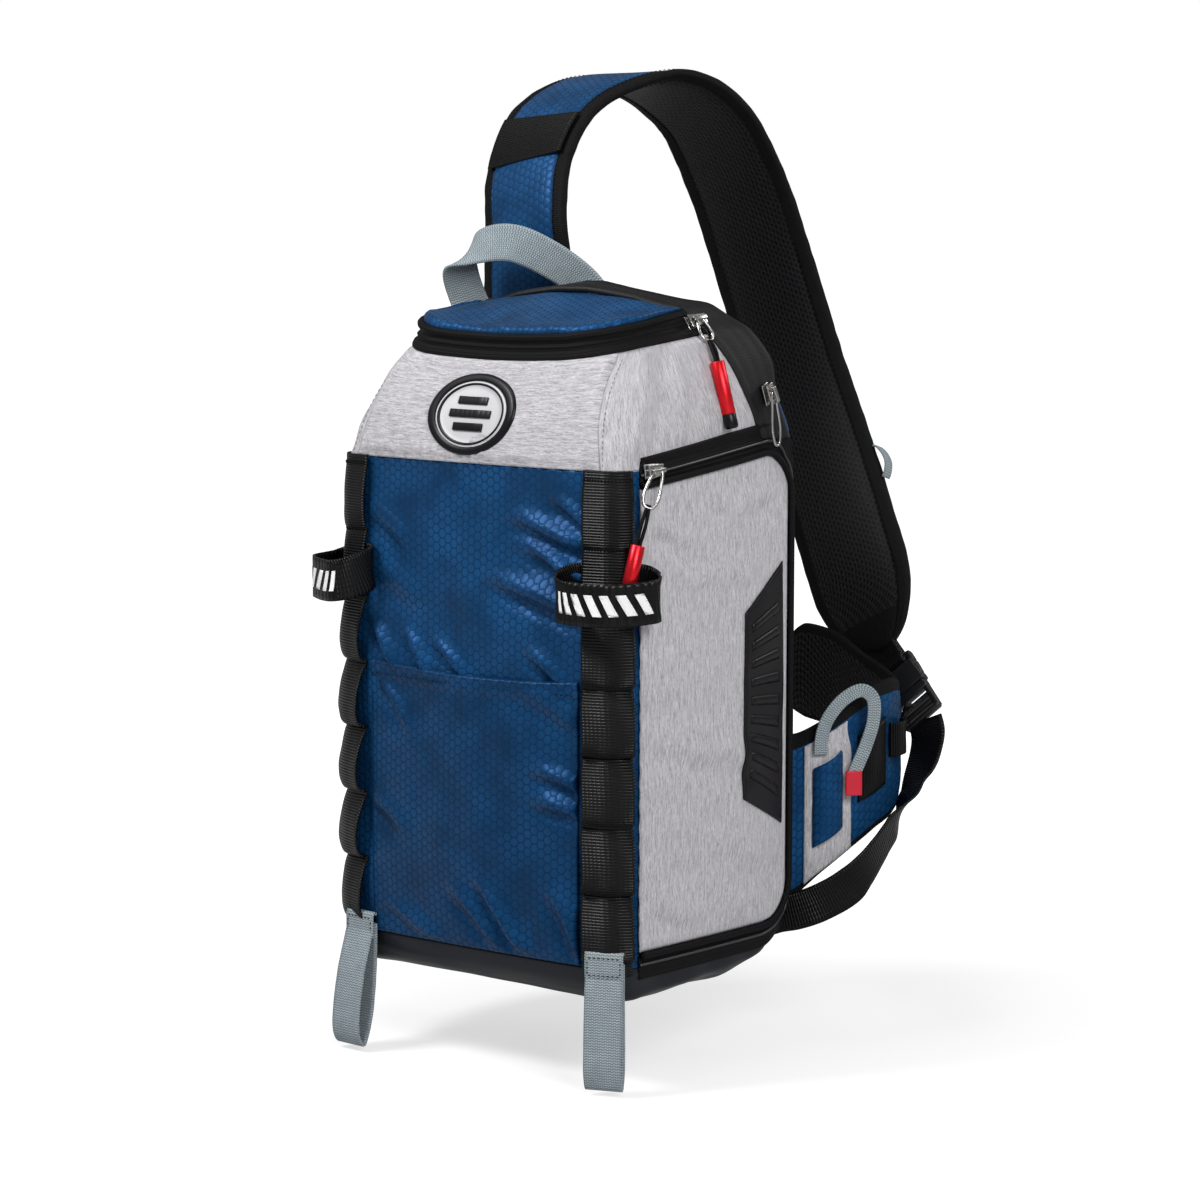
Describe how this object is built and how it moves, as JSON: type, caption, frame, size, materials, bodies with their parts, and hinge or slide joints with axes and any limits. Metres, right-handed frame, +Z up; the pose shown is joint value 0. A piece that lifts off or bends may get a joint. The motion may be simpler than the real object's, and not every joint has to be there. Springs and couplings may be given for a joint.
{
  "type": "fishing tackle sling bag",
  "caption": "Single-strap tackle bag with a domed zip lid, side tray pocket, webbing chains on the front corners, a wide padded strap and a hip wing.",
  "frame": {"origin": "underside of the shoulder strap at its highest point, where a shoulder or a peg carries the bag", "axes": "+Z up; the front with the slip pocket faces -Y, the wearer's side faces +Y; +X is the side with the tray pocket and the hip wing"},
  "size_m": [0.3238, 0.3929, 0.6467],
  "materials": {
    "navy_ripstop": "honeycomb ripstop with a soft sheen",
    "grey_melange": "heather grey melange weave, matt",
    "black_fabric": "woven black webbing and tape, matt",
    "grey_webbing": "grey woven webbing, matt",
    "coated_fabric": "coated black tarpaulin, low sheen",
    "air_mesh": "black air mesh over foam, matt",
    "rubber_patch": "moulded black rubber, satin",
    "red_rubber": "moulded red rubber, satin",
    "buckle_plastic": "moulded black acetal, fine grain",
    "zip_metal": "gunmetal plate, polished",
    "red_aluminium": "red anodised tube"
  },
  "bodies": {
    "root": {"base_boot": "coated_fabric", "body_wall": "navy_ripstop", "yoke_front": "grey_melange", "yoke_side_right": "grey_melange", "yoke_side_left": "grey_melange", "lid_zip_band": "black_fabric", "lid_panel": "navy_ripstop", "rear_zip_band": "black_fabric", "back_shell": "navy_ripstop", "front_pocket": "navy_ripstop", "daisy_webbing_right": "black_fabric", "daisy_webbing_left": "black_fabric", "rod_strap_right": "black_fabric", "rod_strap_left": "black_fabric", "base_loop_right": "grey_webbing", "base_loop_left": "grey_webbing", "side_pocket_panel": "grey_melange", "side_pocket_zip_band": "black_fabric", "side_pocket_piping": "black_fabric", "side_grip_patch": "rubber_patch", "side_bottle_pocket": "air_mesh", "back_pad": "air_mesh", "strap_pad": "navy_ripstop", "strap_keeper_band": "black_fabric", "hip_wing_pad": "navy_ripstop", "wing_front_insert": "grey_melange", "wing_tool_pocket": "navy_ripstop", "wing_elastic_near": "black_fabric", "wing_elastic_far": "black_fabric", "wing_lanyard_loop": "grey_webbing", "wing_tag": "red_rubber", "strap_tab": "black_fabric", "buckle_socket": "buckle_plastic", "buckle_plug": "buckle_plastic", "wing_webbing": "black_fabric", "lower_webbing": "black_fabric", "grab_handle": "grey_webbing", "strap_side_loop": "grey_webbing", "badge": "rubber_patch", "lid_slider": "zip_metal", "lid_pull_cord": "black_fabric", "lid_pull_tube": "red_aluminium", "side_slider": "zip_metal", "side_pull_cord": "black_fabric", "side_pull_tube": "red_aluminium", "rear_slider": "zip_metal", "rear_pull": "zip_metal"}
  },
  "joints": []
}
